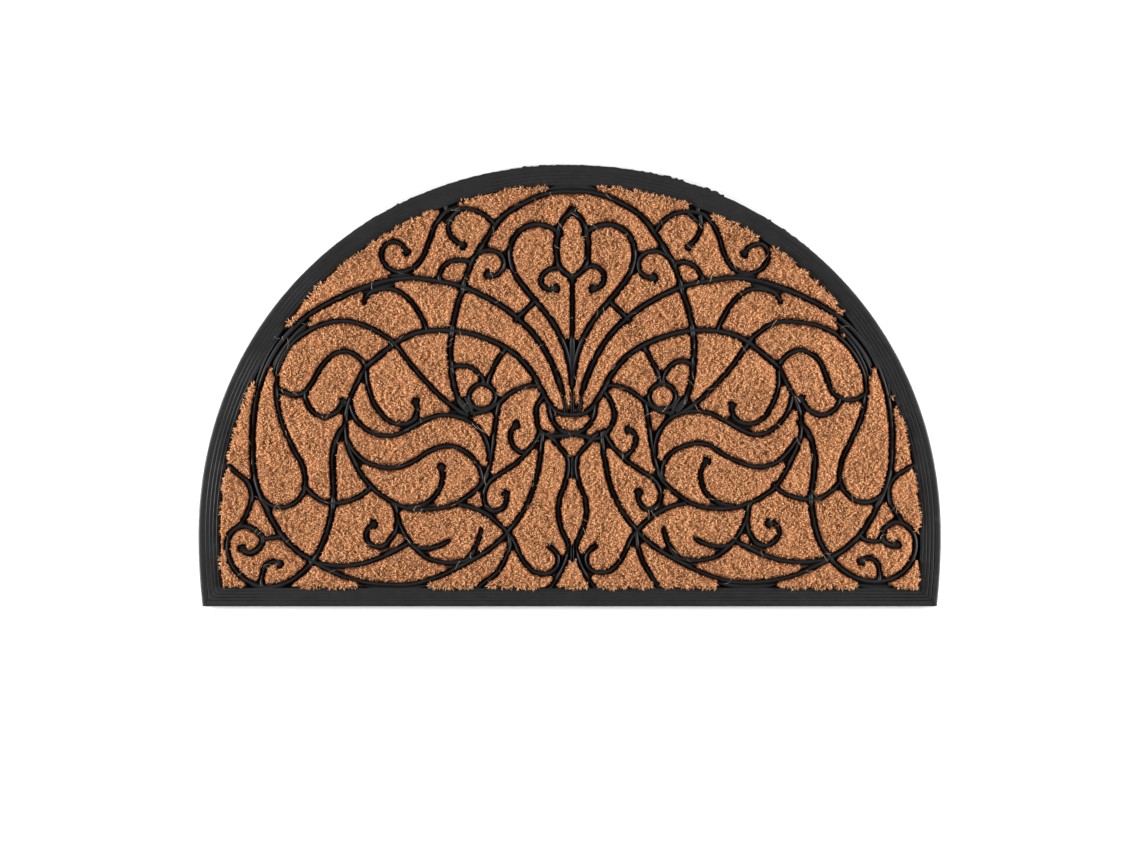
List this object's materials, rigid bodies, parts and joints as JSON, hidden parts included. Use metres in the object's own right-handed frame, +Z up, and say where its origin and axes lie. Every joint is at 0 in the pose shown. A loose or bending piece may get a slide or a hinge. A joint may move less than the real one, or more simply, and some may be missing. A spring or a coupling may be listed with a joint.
{
  "type": "half round doormat",
  "caption": "Half round doormat lying flat: a black rubber moulding with a ridged border and scroll tracery, filled with brown coir that scrapes shoes clean.",
  "frame": {"origin": "middle of the underside's box, on the surface that the mat lies on", "axes": "+X along the straight edge, +Y from the straight edge towards the arch, +Z up out of the pile"},
  "size_m": [0.75, 0.446, 0.01],
  "materials": {
    "black_rubber": "satin",
    "brown_coir": "rough"
  },
  "bodies": {
    "root": {"rubber_moulding": "black_rubber", "coir_bed": "brown_coir"}
  },
  "joints": []
}
